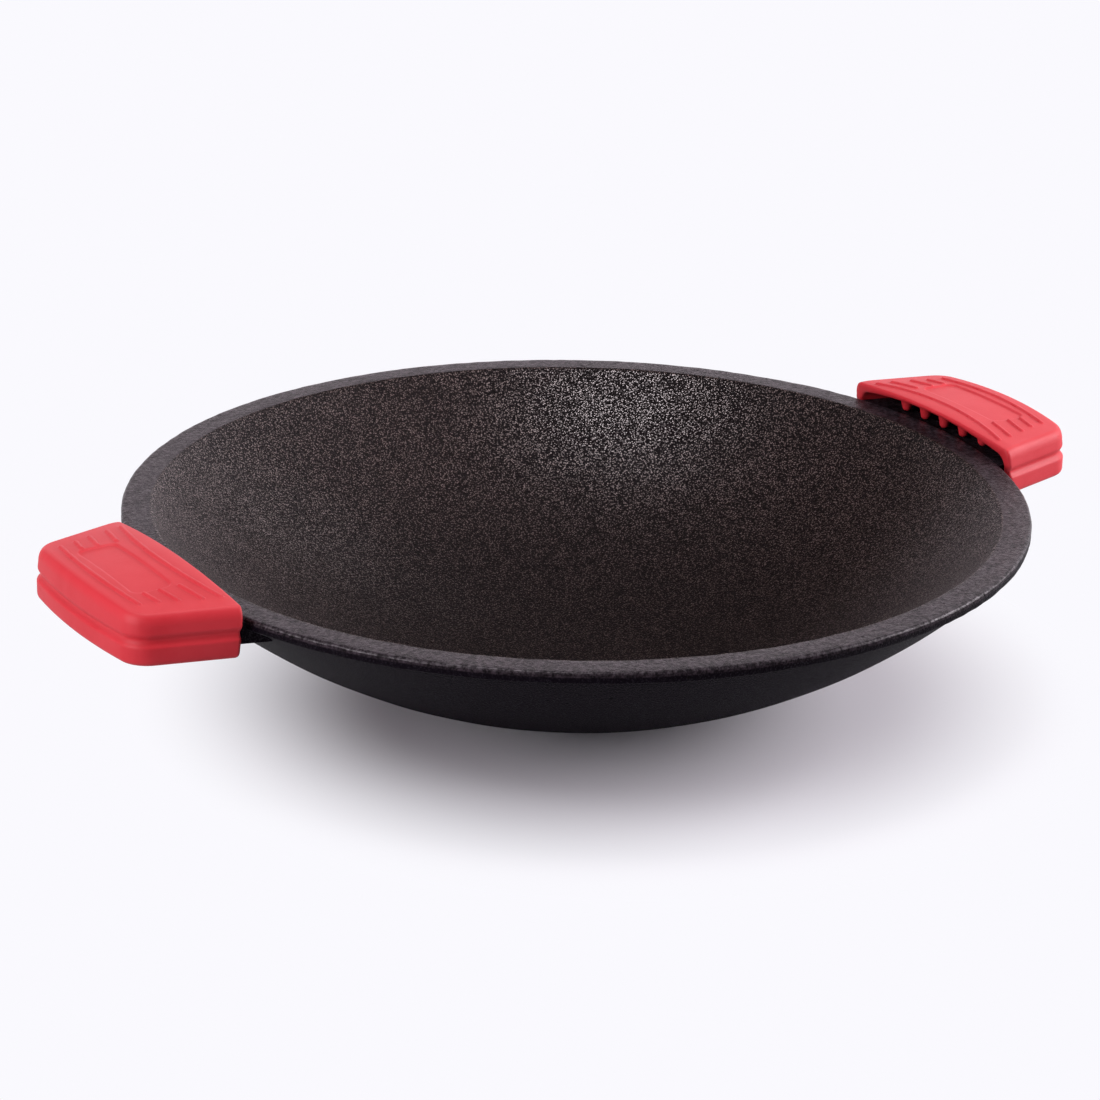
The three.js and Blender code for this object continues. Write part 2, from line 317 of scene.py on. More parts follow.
@dataclass(frozen=True)
class SeasonedIron:
    """Black oiled cast iron: pebbly skin, finer on the rim, with pits; metres, and cells per metre."""

    name: str = "seasoned_iron_inside"
    # dark between the pebbles is partly painted shade in the crevices; pale tops are partly wear and partly
    # painted glints
    dark: Tint = (0.0016, 0.0008, 0.0007)
    pale: Tint = (0.185, 0.114, 0.101)
    rim_dark: Tint = (0.005, 0.004, 0.005)
    rim_pale: Tint = (0.046, 0.0345, 0.0425)
    pit_tint: Tint = (0.003, 0.0025, 0.0025)
    specular: float = 0.10
    shine: Tint = (1.0, 0.86, 0.92)
    roughness: float = 0.24
    ground_roughness: float = 0.12
    deep_roughness: float = 0.15
    pit_roughness: float = 0.2
    pebble_scale: float = 1750.0
    pebble_height: float = 0.6
    pebble_share: float = 0.85
    grain: Texture = (1300.0, 3.0, 0.7)
    grain_height: float = 0.9
    grain_share: float = 0.7
    specks: Texture = (800.0, 4.0, 0.75)
    speck_height: float = 0.9
    patches: Texture = (90.0, 5.0, 0.65)
    patch_share: float = 0.1
    pit_scale: float = 230.0
    pit_size: Range = (0.05, 0.16)
    pit_patches: Texture = (75.0, 1.0, 0.5)
    pit_patch_range: Range = (0.5, 0.6)
    pit_depth: float = 0.5
    rim_pit_depth: float = 0.6
    pit_stain: float = 0.8
    top_range: Range = (0.72, 1.22)
    top_power: float = 2.2
    speck_range: Range = (0.38, 0.68)
    deep_range: Range = (0.006, 0.040)
    # share of the pale tops taken away at the bowl's bottom, as painted shade
    deep_painted_shade: float = 0.55
    relief: float = 0.00036
    oil: float = 1.0
    rim_oil: float = 0.22
    oil_roughness: float = 0.36
    oil_ior: float = 2.3
    rim_radius: Range = (0.1262, 0.1270)
    rim_height: Range = (0.0552, 0.0558)

    def rim_share(self, w: Wiring, place: Field) -> Field:
        """1 on the rim's face, 0 in the bowl.

        Args:
            w: Tree that takes the nodes.
            place: Coordinates.

        Returns:
            The share, blended at the rim's inner edge.
        """
        x, y, z = (w.axis(place, name) for name in "XYZ")
        radius = (x * x + y * y).power(0.5)
        return z.step(*self.rim_height) * radius.step(*self.rim_radius)

    def pit_share(self, w: Wiring, place: Field) -> Field:
        """1 in a casting pit; pits lie in patches."""
        pits = 1.0 - w.cells(place, self.pit_scale).step(*self.pit_size)
        return pits * w.noise(place, *self.pit_patches).step(*self.pit_patch_range)

    def make(self) -> bpy.types.Material:
        """Builds the material.

        Returns:
            The finished material.
        """
        material, w, place = blank_material(self.name)
        rim, pits = self.rim_share(w, place), self.pit_share(w, place)
        # painted shade: the bowl is painted darker towards its bottom
        deep = 1.0 - w.axis(place, "Z").step(*self.deep_range)
        pebbles = 1.0 - w.cells(place, self.pebble_scale)
        grain, specks, patches = (w.noise(place, *kind) for kind in (self.grain, self.specks, self.patches))
        wall_height = pebbles * self.pebble_height + grain * self.grain_height - pits * self.pit_depth
        rim_height = specks * self.speck_height - pits * self.rim_pit_depth
        height = wall_height * (1.0 - rim) + rim_height * rim
        # pale pebble tops over near-black crevices: grain and wear, with painted glints on the tops and painted
        # shade in the crevices
        tops = pebbles * self.pebble_share + grain * self.grain_share + patches * self.patch_share
        tops = tops.step(*self.top_range).power(self.top_power) * (1.0 - deep * self.deep_painted_shade)
        rim_tops = specks.step(*self.speck_range)
        tint = w.mix(tops, colour(*self.dark), colour(*self.pale))
        rim_tint = w.mix(rim_tops, colour(*self.rim_dark), colour(*self.rim_pale))
        tint = w.mix(rim, tint, rim_tint)
        rough = self.roughness + (1.0 - tops) * self.ground_roughness
        oil = (tops * (1.0 - rim) + rim_tops * rim * self.rim_oil) * (1.0 - pits) * self.oil
        shader = w.node(
            "ShaderNodeBsdfPrincipled",
            {},
            {
                "Base Color": w.mix(pits * self.pit_stain, tint, colour(*self.pit_tint)),
                "Roughness": rough + deep * self.deep_roughness + pits * self.pit_roughness,
                "Specular IOR Level": self.specular,
                "Specular Tint": colour(*self.shine),
                "Coat Weight": oil,
                "Coat Roughness": self.oil_roughness,
                "Coat IOR": self.oil_ior,
                "Normal": w.bump(height, self.relief, 1.0),
            },
        )
        w.node("ShaderNodeOutputMaterial", {}, {"Surface": shader})
        return material


@dataclass(frozen=True)
class RedSilicone:
    """Satin red silicone with a faint bloom and dust, a painted sheen that pales its upper faces, and fine mould
    grain.
    """

    name: str = "red_silicone"
    red: Tint = (0.56, 0.020, 0.031)
    deep: Tint = (0.53, 0.011, 0.021)
    bloom_and_sheen: Tint = (0.70, 0.115, 0.125)
    specular: float = 0.32
    roughness: float = 0.44
    cloud: Texture = (70.0, 4.0, 0.6)
    cloud_range: Range = (0.35, 0.7)
    cloud_roughness: float = 0.08
    dust: Texture = (420.0, 2.0, 0.7)
    dust_roughness: float = 0.1
    grain: Texture = (1500.0, 3.0, 0.6)
    grain_relief: float = 0.00006
    grain_strength: float = 0.5
    upward_range: Range = (0.72, 0.97)
    # shares of the pale colour: everywhere as bloom, with the dust, and on upward faces as a painted sheen
    bloom_and_sheen_shares: tuple[float, float, float] = (0.02, 0.08, 0.26)

    def make(self) -> bpy.types.Material:
        """Builds the material.

        Returns:
            The finished material.
        """
        material, w, place = blank_material(self.name)
        # painted sheen: faces that point up are mixed towards the pale colour, as a reflection of the light above
        # would pale them
        upward = w.axis(w.node("ShaderNodeTexCoord", {}, {}, "Normal"), "Z").step(*self.upward_range)
        cloud, grain, dust = (w.noise(place, *kind) for kind in (self.cloud, self.grain, self.dust))
        tint = w.mix(cloud.step(*self.cloud_range), colour(*self.red), colour(*self.deep))
        everywhere, dusty, above = self.bloom_and_sheen_shares
        shader = w.node(
            "ShaderNodeBsdfPrincipled",
            {},
            {
                "Base Color": w.mix(everywhere + dust * dusty + upward * above, tint, colour(*self.bloom_and_sheen)),
                "Roughness": self.roughness + cloud * self.cloud_roughness + dust * self.dust_roughness,
                "Specular IOR Level": self.specular,
                "Normal": w.bump(grain, self.grain_relief, self.grain_strength),
            },
        )
        w.node("ShaderNodeOutputMaterial", {}, {"Surface": shader})
        return material


@dataclass(frozen=True)
class LugOutline:
    """Plan of the +X lug in millimetres: two slanted ends, a bowed tip and round corners."""

    rim: float = 135.0
    reach: float = 25.6
    width: float = 71.0
    taper: float = math.radians(15)
    bow: float = 196.0
    corner: float = 5.3

    @property
    def tip(self) -> float:
        """Reach of the tip's middle from the pan's axis."""
        return self.rim + self.reach

    def end_y(self, offset: float, x: float) -> float:
        """Distance of the grown end edge from the middle, at a reach."""
        return self.width / 2 + offset / math.cos(self.taper) + (self.rim - x) * math.tan(self.taper)

    def half(self, offset: float, start_x: float, ends: int, corners: int, tips: int) -> list[Vector]:
        """Outline on the +Y side, from the end edge round the corner to the tip's middle.

        Args:
            offset: Growth of the outline.
            start_x: Reach at which the end edge starts.
            ends: Steps along the end edge.
            corners: Steps along the corner.
            tips: Steps from the corner to the tip's middle.

        Returns:
            The points in order.
        """
        along = Vector((math.cos(self.taper), -math.sin(self.taper)))
        outward = Vector((math.sin(self.taper), math.cos(self.taper)))
        hub = Vector((self.tip - self.bow, 0.0))
        start = Vector((self.rim - hub.x, self.width / 2)) - self.corner * outward
        back = start.dot(along)
        reach = self.bow - self.corner
        middle = start + along * (math.sqrt(back**2 - start.length_squared + reach**2) - back)
        turn = math.atan2(middle.y, middle.x)
        bend = arc(hub + middle, self.corner + offset, math.pi / 2 - self.taper, turn, corners)
        first = Vector((start_x, self.end_y(offset, start_x)))
        edge = [first.lerp(bend[0], k / ends) for k in range(ends)]
        return edge + bend + arc(hub, self.bow + offset, turn, 0.0, tips)[1:]

    def whole(self, offset: float, start_x: float, ends: int, corners: int, tips: int) -> list[Vector]:
        """Outline from the -Y end round the tip to the +Y end.

        Args:
            offset: Growth of the outline.
            start_x: Reach at which both end edges start.
            ends: Steps along each end edge.
            corners: Steps along each corner.
            tips: Steps from each corner to the tip's middle.

        Returns:
            The points in order.
        """
        upper = self.half(offset, start_x, ends, corners, tips)
        lower = [Vector((point.x, -point.y)) for point in upper]
        return lower + upper[-2::-1]


@dataclass
class PanCasting:
    """Bowl, rim and both lugs, cast in one, in millimetres."""

    outline: LugOutline = field(default_factory=LugOutline)
    height: float = 57.0
    rim_width: float = 9.0
    rim_band: float = 3.6
    overhang: float = 3.0
    edge_round: float = 1.0
    neck_round: float = 0.5
    inner_round: float = 2.2
    inner_clear: float = 1.2
    base_radius: float = 30.0
    floor: float = 4.5
    lug_drop: float = 1.2
    lug_thickness: float = 6.3
    lug_round: float = 1.2
    lug_root: float = 127.2
    slot_x: float = 145.5
    slot_width: float = 9.0
    slot_length: float = 46.0
    turn_steps: int = 360
    outside_steps: int = 44
    inside_steps: int = 60
    base_steps: int = 6
    neck_steps: int = 3
    edge_steps: tuple[int, int] = (5, 6)
    face_steps: int = 4
    inner_steps: int = 7
    root_steps: int = 16
    root_tries: int = 20
    slot_steps: int = 12
    brim_steps: int = 4
    lug_steps: tuple[int, int, int] = (8, 10, 12)
    brim_angle: float = 1.2
    wave: float = 0.10
    wave_length: float = 17.0
    ripple: float = 0.13
    ripple_length: float = 3.4
    ripple_start: Place = (7.1, 3.3, 0.0)
    still_base: Range = (1.0, 0.5)  # round the base and above it
    wave_end: Range = (2.0, 0.0)  # outwards from the rim
    edge_start: Range = (-3.0, -0.5)
    edge_end: Range = (0.6, 0.2)
    inner_band: Range = (1.6, 0.4)  # to either side of the rim's inner edge
    inner_depth: Range = (5.0, 3.0)
    inside_lean: float = 0.35
    sharp: float = math.radians(38)

    def bowl_arc(self, low: Vector, high: Vector, steps: int) -> list[Vector]:
        """Arc centred on the axis that rises from one profile point to another.

        Args:
            low: Lower point, as radius and height.
            high: Upper point.
            steps: Number of steps.

        Returns:
            The points from the lower to the upper.
        """
        rise = high.y - low.y
        middle = Vector((0.0, low.y + (high.x**2 - low.x**2 + rise**2) / (2 * rise)))
        first, last = low - middle, high - middle
        return arc(middle, first.length, math.atan2(first.y, first.x), math.atan2(last.y, last.x), steps)

    def profile(self) -> list[Vector]:
        """Section of bowl and rim, from the base's middle round to the floor's middle.

        Returns:
            Radius and height of each point.
        """
        rim, fillet, neck_round = self.outline.rim, self.edge_round, self.neck_round
        foot = self.height - self.rim_band
        edge = rim - self.rim_width
        quarter = math.pi / 2
        neck_low = Vector((rim - self.overhang, foot - neck_round))
        outside = self.bowl_arc(Vector((self.base_radius, 0)), neck_low, self.outside_steps)
        inside = self.bowl_arc(Vector((0, self.floor)), Vector((edge, self.height)), self.inside_steps)
        lean = math.atan2(inside[-1].y - inside[-2].y, inside[-1].x - inside[-2].x)
        reach = self.inner_round * math.tan(lean / 2)
        inside = [point for point in inside if (point - inside[-1]).length > self.inner_clear * reach]
        base = [Vector((self.base_radius * k / self.base_steps, 0.0)) for k in range(self.base_steps)]
        neck = arc(neck_low + Vector((neck_round, 0)), neck_round, math.pi, quarter, self.neck_steps)
        low_steps, high_steps = self.edge_steps
        lower = arc(Vector((rim - fillet, foot + fillet)), fillet, -quarter, 0, low_steps)
        upper = arc(Vector((rim - fillet, self.height - fillet)), fillet, 0, quarter, high_steps)
        flat, parts = self.rim_width - fillet - reach, self.face_steps
        face = [Vector((rim - fillet - flat * k / parts, self.height)) for k in range(1, parts)]
        middle = Vector((edge + reach, self.height - self.inner_round))
        inner = arc(middle, self.inner_round, quarter, quarter + lean, self.inner_steps)
        return base + outside + neck[1:] + lower + upper + face + inner + inside[::-1]

    def bowl(self) -> bmesh.types.BMesh:
        """Turns the bowl and rim.

        Returns:
            The closed body.
        """
        bm = bmesh.new()
        turn_profile(bm, self.profile(), self.turn_steps, Vector())
        bmesh.ops.recalc_face_normals(bm, faces=bm.faces)
        return bm

    def lugs(self) -> bmesh.types.BMesh:
        """Makes both slotted plates, rounded along their edges.

        Returns:
            Two closed bodies whose roots lie inside the rim.
        """
        bm = bmesh.new()
        angle = 0.0
        for _ in range(self.root_tries):
            angle = math.asin(self.outline.end_y(0, self.lug_root * math.cos(angle)) / self.lug_root)
        plan = self.outline.whole(0.0, self.lug_root * math.cos(angle), *self.lug_steps)
        plan += arc(Vector((0, 0)), self.lug_root, angle, -angle, self.root_steps)[1:-1]
        end = self.slot_width / 2
        reach = self.slot_length / 2 - end
        slot = arc(Vector((self.slot_x, reach)), end, 0, math.pi, self.slot_steps)
        slot += arc(Vector((self.slot_x, -reach)), end, math.pi, math.tau, self.slot_steps)
        low = self.height - self.lug_drop - self.lug_thickness
        edges = [edge for loop in (plan, slot) for edge in chain(bm, [p.to_3d() for p in loop], True)]
        bmesh.ops.triangle_fill(bm, use_beauty=True, use_dissolve=False, edges=edges)
        bmesh.ops.translate(bm, vec=(0, 0, low), verts=bm.verts)
        raised = bmesh.ops.extrude_face_region(bm, geom=list(bm.faces), use_keep_orig=True)
        top = [item for item in raised["geom"] if isinstance(item, bmesh.types.BMVert)]
        bmesh.ops.translate(bm, vec=(0, 0, self.lug_thickness), verts=top)
        bmesh.ops.recalc_face_normals(bm, faces=bm.faces)
        brims = [edge for edge in bm.edges if edge.calc_face_angle(0.0) > self.brim_angle]
        bmesh.ops.bevel(
            bm,
            geom=brims,
            offset=self.lug_round,
            affect="EDGES",
            segments=self.brim_steps,
            profile=0.5,
            material=-1,
            clamp_overlap=True,
        )
        twin = bmesh.ops.duplicate(bm, geom=list(bm.verts) + list(bm.edges) + list(bm.faces))
        others = [item for item in twin["geom"] if isinstance(item, bmesh.types.BMVert)]
        bmesh.ops.rotate(bm, cent=(0, 0, 0), matrix=Matrix.Rotation(math.pi, 3, "Z"), verts=others)
        bmesh.ops.recalc_face_normals(bm, faces=bm.faces)
        return bm

    def roughen(self, bm: bmesh.types.BMesh) -> None:
        """Moves the skin along its normals by the slight waves of a sand casting.

        Args:
            bm: Mesh in metres.
        """
        bm.normal_update()
        margin, lift = self.still_base
        for vert in bm.verts:
            place = vert.co / MM
            radius = place.xy.length
            if place.z < lift and radius < self.base_radius + margin:
                continue  # the base stays flat
            out = radius - self.outline.rim
            edge = ramp(*self.edge_start, out) * ramp(*self.edge_end, out)
            inner = ramp(*self.inner_band, abs(out + self.rim_width))
            inner *= ramp(*self.inner_depth, self.height - place.z)
            move = self.wave * noise.noise(place / self.wave_length) * ramp(*self.wave_end, out)
            ripple = noise.noise(place / self.ripple_length + Vector(self.ripple_start))
            move += self.ripple * (edge + inner) * ripple
            vert.co += vert.normal * move * MM

    def build(self) -> bpy.types.Object:
        """Joins the bowl and the lugs into one casting.

        Returns:
            The casting as one object.
        """
        casting = to_object(self.bowl(), "iron_casting", math.pi)
        bm = unite(casting, to_object(self.lugs(), "iron_lugs", math.pi))
        self.roughen(bm)
        take(casting, bm, self.sharp)
        return casting

    def dress(self, piece: bpy.types.Object, inside: bpy.types.Material, outside: bpy.types.Material) -> None:
        """Gives the casting its finishes and its place in the model.

        Args:
            piece: The casting.
            inside: Finish of the bowl's inside and the rim's face.
            outside: Finish of the rest: the same iron painted darker and bluer, as painted shade and a painted
                reflection of the floor's tint.
        """
        piece.data.materials.append(inside)
        piece.data.materials.append(outside)
        rim = self.outline.rim * MM
        for face in piece.data.polygons:
            inner = face.normal.z > self.inside_lean and face.center.xy.length < rim
            face.material_index = 0 if inner else 1
        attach(piece, "pan")
        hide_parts("pan_casting")


@dataclass(frozen=True)
class TopRelief:
    """Raised beads and the sunk bare panel on a grip's top, in millimetres."""

    mouth_bead: Range = (138.1, 63.0)
    tip_bead: Range = (158.3, 50.4)
    dash_start: float = 19.9
    dash_tilt: float = math.radians(10)
    dashes: tuple[Range, ...] = ((141.4, 10.6), (147.4, 8.6), (152.2, 6.6))
    bead_half: float = 0.72
    bead_rise: float = 0.55
    bead_fullness: float = 1.35
    panel: tuple[float, float, float] = (148.7, 6.1, 18.8)
    panel_corner: float = 3.0
    panel_depth: float = 0.5
    panel_wall: float = 0.7

    def bead_distance(self, x: float, y: float) -> float:
        """Distance in plan to the nearest bead's middle line.

        Args:
            x: Reach from the pan's axis.
            y: Distance from the grip's middle.

        Returns:
            The distance.
        """
        near = math.inf
        for radius, length in (self.mouth_bead, self.tip_bead):
            half = math.asin(length / 2 / radius)
            angle = max(-half, min(half, math.atan2(y, x)))
            near = min(near, math.hypot(x - radius * math.cos(angle), y - radius * math.sin(angle)))
        run_x, run_y = -math.sin(self.dash_tilt), math.cos(self.dash_tilt)
        for start_x, length in self.dashes:
            away_x, away_y = x - start_x, abs(y) - self.dash_start
            along = max(0.0, min(length, away_x * run_x + away_y * run_y))
            near = min(near, math.hypot(away_x - along * run_x, away_y - along * run_y))
        return near

    def height(self, x: float, y: float) -> float:
        """Height of the relief over the plain top.

        Args:
            x: Reach from the pan's axis.
            y: Distance from the grip's middle.

        Returns:
            The height, below zero inside the panel.
        """
        bead = max(0.0, 1.0 - self.bead_distance(x, y) / self.bead_half)
        middle, half_x, half_y = self.panel
        far_x = abs(x - middle) - half_x + self.panel_corner
        far_y = abs(y) - half_y + self.panel_corner
        edge = math.hypot(max(far_x, 0.0), max(far_y, 0.0)) + min(max(far_x, far_y), 0.0) - self.panel_corner
        rise = self.bead_rise * math.sin(min(1.0, self.bead_fullness * bead) * math.pi / 2)
        return rise - self.panel_depth * ramp(self.panel_wall / 2, -self.panel_wall / 2, edge)


@dataclass(frozen=True)
class SkinCounts:
    """Number of steps in one skin of a grip."""

    ends: int
    corners: int
    tips: int

    @property
    def depth(self) -> int:
        """Steps from the mouth to the middle of a corner."""
        return self.ends + self.corners // 2

    @property
    def width(self) -> int:
        """Steps from one corner's middle round the tip to the other's."""
        return 2 * (self.tips + self.corners - self.corners // 2)

    def border(self) -> list[tuple[int, int]]:
        """Grid steps along a row, from the -Y end of the mouth to the +Y end.

        Returns:
            Steps from the mouth and from the -Y side, for each place of the row.
        """
        deep, wide = self.depth, self.width
        last = 2 * deep + wide
        return [(min(k, deep, last - k), min(max(k - deep, 0), wide)) for k in range(last + 1)]


@dataclass
class SiliconeGrip:
    """Moulded sleeve that slips over a lug, as it sits on the +X lug, in millimetres."""

    outline: LugOutline = field(default_factory=LugOutline)
    relief: TopRelief = field(default_factory=TopRelief)
    lug_top: float = 55.8
    seat_gap: float = 0.3
    pocket_gap: float = 0.8
    wall: float = 3.4
    bottom: float = 46.8
    floor: float = 49.2
    roof: float = 2.0
    mouth_ceiling: float = 62.0
    crown: float = 2.5
    ceiling_arch: float = 3.4
    slope: float = math.tan(math.radians(1.7))
    mouth_x: float = 131.5
    rake: float = math.tan(math.radians(7))
    mouth_tries: int = 6
    lip: float = 1.0
    lip_fullness: float = 1.2
    droop_from: float = 136.4
    droop: float = 0.020
    shoulder: Range = (2.4, 4.0)
    shoulder_inset: float = 0.6
    groove: tuple[Range, ...] = (
        (0.42, 56.5), (0.40, 56.1), (0.45, 55.75), (0.62, 55.35), (0.92, 54.9), (1.10, 54.45), (1.05, 53.95),
        (0.78, 53.4), (0.42, 52.95), (0.14, 52.6), (0.02, 52.25), (0.0, 51.8), (0.0, 50.6), (0.0, 49.4),
    )
    foot_round: float = 1.8
    pocket_round: float = 3.2
    round_rows: int = 10
    foot_rows: int = 6
    nub_rows: tuple[tuple[float, int], ...] = ((137.8, 5), (155.3, 4))
    nub_pitch: float = 9.8
    nub_radius: float = 2.2
    nub_tip: float = 1.6
    nub_flare: float = 0.9
    nub_blend: float = 0.1
    nub_sink: float = 0.5
    nub_steps: tuple[int, int, int] = (5, 4, 20)  # tip, flare and turn
    outer_counts: SkinCounts = SkinCounts(72, 24, 96)
    inner_counts: SkinCounts = SkinCounts(14, 24, 96)
    lip_steps: int = 9
    sharp: float = math.radians(50)

    @property
    def offset(self) -> float:
        """Growth of the lug's outline to the grip's outside."""
        return self.pocket_gap + self.wall

    def plain_top(self, x: float, y: float) -> float:
        """Height of the crowned top without its relief, easing down towards the mouth.

        Args:
            x: Reach from the pan's axis.
            y: Distance from the grip's middle.

        Returns:
            The height.
        """
        half = self.outline.width / 2 + self.offset / math.cos(self.outline.taper)
        ease = self.droop * max(0.0, self.droop_from - x) ** 2
        fall = self.slope * (x - self.mouth_x)
        return self.mouth_ceiling + self.roof - self.crown * (y / half) ** 2 - fall - ease

    def top(self, x: float, y: float) -> float:
        """Height of the top with its relief."""
        return self.plain_top(x, y) + self.relief.height(x, y)

    def ceiling(self, x: float, y: float) -> float:
        """Height of the pocket's arched ceiling."""
        half = self.outline.width / 2 + self.pocket_gap / math.cos(self.outline.taper)
        return self.mouth_ceiling - self.ceiling_arch * (y / half) ** 2 - self.slope * (x - self.mouth_x)

    def start_x(self, z: float) -> float:
        """Reach at which a skin starts behind the round lip of the raked mouth, at a height."""
        return self.mouth_x + self.lip + (self.mouth_ceiling - z) * self.rake

    def rounded(self, inset: float, size: Range, over: Height) -> list[Row]:
        """Rows of a rounded edge from its top down.

        Args:
            inset: Inset of its foot from the grip's outside.
            size: Width and height of the round.
            over: Height of the face above it.

        Returns:
            Inset from the grip's outside and height of each row.
        """
        width, height = size
        rows: list[Row] = []
        for k in range(self.round_rows):
            angle = math.pi / 2 * (1 - k / (self.round_rows - 1))
            drop = height * (1 - math.sin(angle))
            rows.append((inset + width * (1 - math.cos(angle)), lambda x, y, drop=drop: over(x, y) - drop))
        return rows

    def side_rows(self) -> list[Row]:
        """Rows of the outer side from the shoulder's top to the foot.

        Returns:
            Inset from the grip's outside and height of each row.
        """
        rows = self.rounded(self.shoulder_inset, self.shoulder, self.plain_top)
        rows += [(inset, lambda x, y, z=z: z) for inset, z in self.groove]
        foot = Vector((self.foot_round, self.bottom + self.foot_round))
        for point in arc(foot, self.foot_round, math.pi, 1.5 * math.pi, self.foot_rows):
            rows.append((point.x, lambda x, y, z=point.y: z))
        return rows

    def pocket_rows(self, count: int) -> list[Row]:
        """Rows of the pocket's side from the ceiling's round to the floor.

        Args:
            count: Number of rows.

        Returns:
            Inset from the grip's outside and height of each row.
        """
        rows = self.rounded(self.wall, (self.pocket_round, self.pocket_round), self.ceiling)
        rest = count - self.round_rows
        for k in range(1, rest + 1):
            rows.append((self.wall, lambda x, y, s=k / rest: self.pocket_side(x, y, s)))
        return rows

    def pocket_side(self, x: float, y: float, share: float) -> float:
        """Height on the pocket's side, from 0 under the ceiling's round to 1 at the floor."""
        return (1 - share) * (self.ceiling(x, y) - self.pocket_round) + share * self.floor

    def ring(self, row: Row, counts: SkinCounts) -> list[Vector]:
        """Places of one row round the outline.

        Args:
            row: Inset from the grip's outside, and height.
            counts: Steps of the skin.

        Returns:
            The places from the -Y end of the mouth to the +Y end.
        """
        inset, height = row
        grown = self.offset - inset
        start = self.start_x(self.mouth_ceiling)
        for _ in range(self.mouth_tries):
            start = self.start_x(height(start, self.outline.end_y(grown, start)))
        plan = self.outline.whole(grown, start, counts.ends, counts.corners, counts.tips)
        return [Vector((point.x, point.y, height(point.x, point.y))) for point in plan]

    def patch(
        self, bm: bmesh.types.BMesh, ring: Sequence[Vector], counts: SkinCounts, height: Height
    ) -> dict[tuple[int, int], bmesh.types.BMVert]:
        """Grid stretched over a row of the outline.

        Args:
            bm: Mesh that takes the grid.
            ring: Row that bounds the grid on three sides.
            counts: Steps of the skin.
            height: Height of the grid over a place in plan.

        Returns:
            Vertices by their steps from the mouth and from the -Y side.
        """
        deep, wide = counts.depth, counts.width
        made = bmesh.ops.create_grid(bm, x_segments=deep, y_segments=wide, size=1.0)
        low, high = ring[: deep + 1], ring[: -deep - 2 : -1]
        tip = ring[deep : deep + wide + 1]
        verts: dict[tuple[int, int], bmesh.types.BMVert] = {}
        for vert in made["verts"]:
            t, s = (vert.co.x + 1) / 2, (vert.co.y + 1) / 2
            i, j = round(t * deep), round(s * wide)
            mouth = low[0].lerp(high[0], s)
            corners = mouth * (1 - t) + low[-1].lerp(high[-1], s) * t
            place = mouth * (1 - t) + tip[j] * t + low[i].lerp(high[i], s) - corners
            vert.co = (place.x, place.y, height(place.x, place.y))
            verts[i, j] = vert
        for step, place in zip(counts.border(), ring):
            verts[step].co = place
        return verts

    def skin(
        self, bm: bmesh.types.BMesh, rows: Sequence[Row], counts: SkinCounts, top: Height, bottom: Height
    ) -> list[bmesh.types.BMVert]:
        """One skin of the sleeve: a top, a side that is extruded down row by row, and a bottom.

        Args:
            bm: Mesh that takes the skin.
            rows: Inset and height of the side's rows, from the top down.
            counts: Steps of the skin.
            top: Height of the top.
            bottom: Height of the bottom.

        Returns:
            Vertices round the open mouth: top, +Y side, bottom and -Y side.
        """
        wide, steps = counts.width, counts.border()
        upper = self.patch(bm, self.ring(rows[0], counts), counts, top)
        line = [upper[step] for step in steps]
        high_side, low_side = [], []
        for row in rows[1:]:
            line = self.extrude_line(bm, line, self.ring(row, counts), False)
            low_side.append(line[0])
            high_side.append(line[-1])
        lower = self.patch(bm, [vert.co.copy() for vert in line], counts, bottom)
        foot = [lower[0, j] for j in range(wide - 1, 0, -1)]
        bmesh.ops.weld_verts(bm, targetmap={lower[step]: vert for step, vert in zip(steps, line)})
        return [upper[0, j] for j in range(wide + 1)] + high_side + foot + low_side[::-1]

    @staticmethod
    def extrude_line(
        bm: bmesh.types.BMesh, line: Sequence[bmesh.types.BMVert], places: Sequence[Vector], closed: bool
    ) -> list[bmesh.types.BMVert]:
        """Extrudes a line of edges to new places.

        Args:
            bm: Mesh that holds the line.
            line: Vertices of the line, in order.
            places: Where the new vertices go.
            closed: Whether the line is a loop.

        Returns:
            The new vertices, in the line's order.
        """
        follow = list(line[1:]) + ([line[0]] if closed else [])
        edges = [bm.edges.get(pair) for pair in zip(line, follow)]
        made = bmesh.ops.extrude_edge_only(bm, edges=edges)
        fresh = {item for item in made["geom"] if isinstance(item, bmesh.types.BMVert)}
        result = []
        for vert, place in zip(line, places):
            new = next(e.other_vert(vert) for e in vert.link_edges if e.other_vert(vert) in fresh)
            new.co = place
            result.append(new)
        return result

    def close_mouth(
        self, bm: bmesh.types.BMesh, outer: Sequence[bmesh.types.BMVert], inner: Sequence[bmesh.types.BMVert]
    ) -> None:
        """Joins the outer skin to the pocket by a round lip.

        Args:
            bm: Mesh that holds both skins.
            outer: Mouth of the outer skin.
            inner: Mouth of the pocket, vertex for vertex.
        """
        line = list(outer)
        starts = [vert.co.copy() for vert in outer]
        ends = [vert.co.copy() for vert in inner]
        for k in range(1, self.lip_steps + 1):
            angle = math.pi * k / self.lip_steps
            places = []
            for start, end in zip(starts, ends):
                half = (start - end) / 2
                power = 2 / (2 + min(self.lip_fullness, max(0.0, half.length - self.lip)))
                across = math.copysign(abs(math.cos(angle)) ** power, math.cos(angle))
                bulge = self.lip * max(0.0, math.sin(angle)) ** power
                places.append((start + end) / 2 + half * across - Vector((bulge, 0, 0)))
            line = self.extrude_line(bm, line, places, True)
        bmesh.ops.weld_verts(bm, targetmap=dict(zip(line, inner)))

